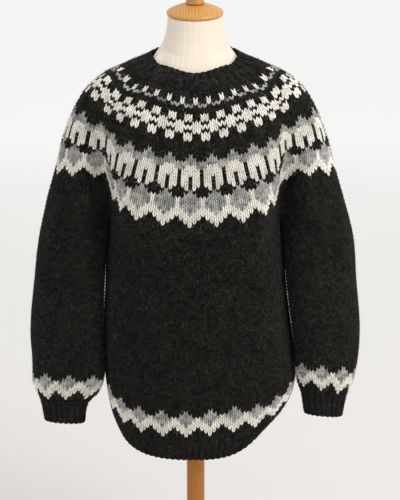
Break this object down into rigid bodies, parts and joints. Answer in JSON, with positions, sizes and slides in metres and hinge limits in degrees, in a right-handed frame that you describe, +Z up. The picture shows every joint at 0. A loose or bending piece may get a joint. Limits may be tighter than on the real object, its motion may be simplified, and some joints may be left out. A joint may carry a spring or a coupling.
{
  "type": "round-yoke pullover sweater on a dress form",
  "caption": "Hand-knitted wool pullover with a round patterned yoke and ribbed hem, cuffs and neck, shown on a limbless dress form with a wooden cap, pole and base.",
  "frame": {"origin": "centre of the base's underside, on the pole's axis", "axes": "+Z up along the pole; the pullover's front faces -Y; +X is the viewer's right from the front"},
  "size_m": [0.6227, 0.356, 1.3131],
  "materials": {
    "charcoal_wool": "hairy stocking stitch in lightly spun wool, matte",
    "cream_jersey": "smooth stretched jersey, matte",
    "honey_wood": "turned and satin varnished"
  },
  "bodies": {
    "root": {"base": "honey_wood", "body": "charcoal_wool", "cap_knob": "honey_wood", "cuff_left": "charcoal_wool", "cuff_right": "charcoal_wool", "form_torso": "cream_jersey", "hem_rib": "charcoal_wool", "neck_cap": "honey_wood", "neckband": "charcoal_wool", "pole": "honey_wood", "sleeve_left": "charcoal_wool", "sleeve_right": "charcoal_wool", "yoke": "charcoal_wool"}
  },
  "joints": []
}
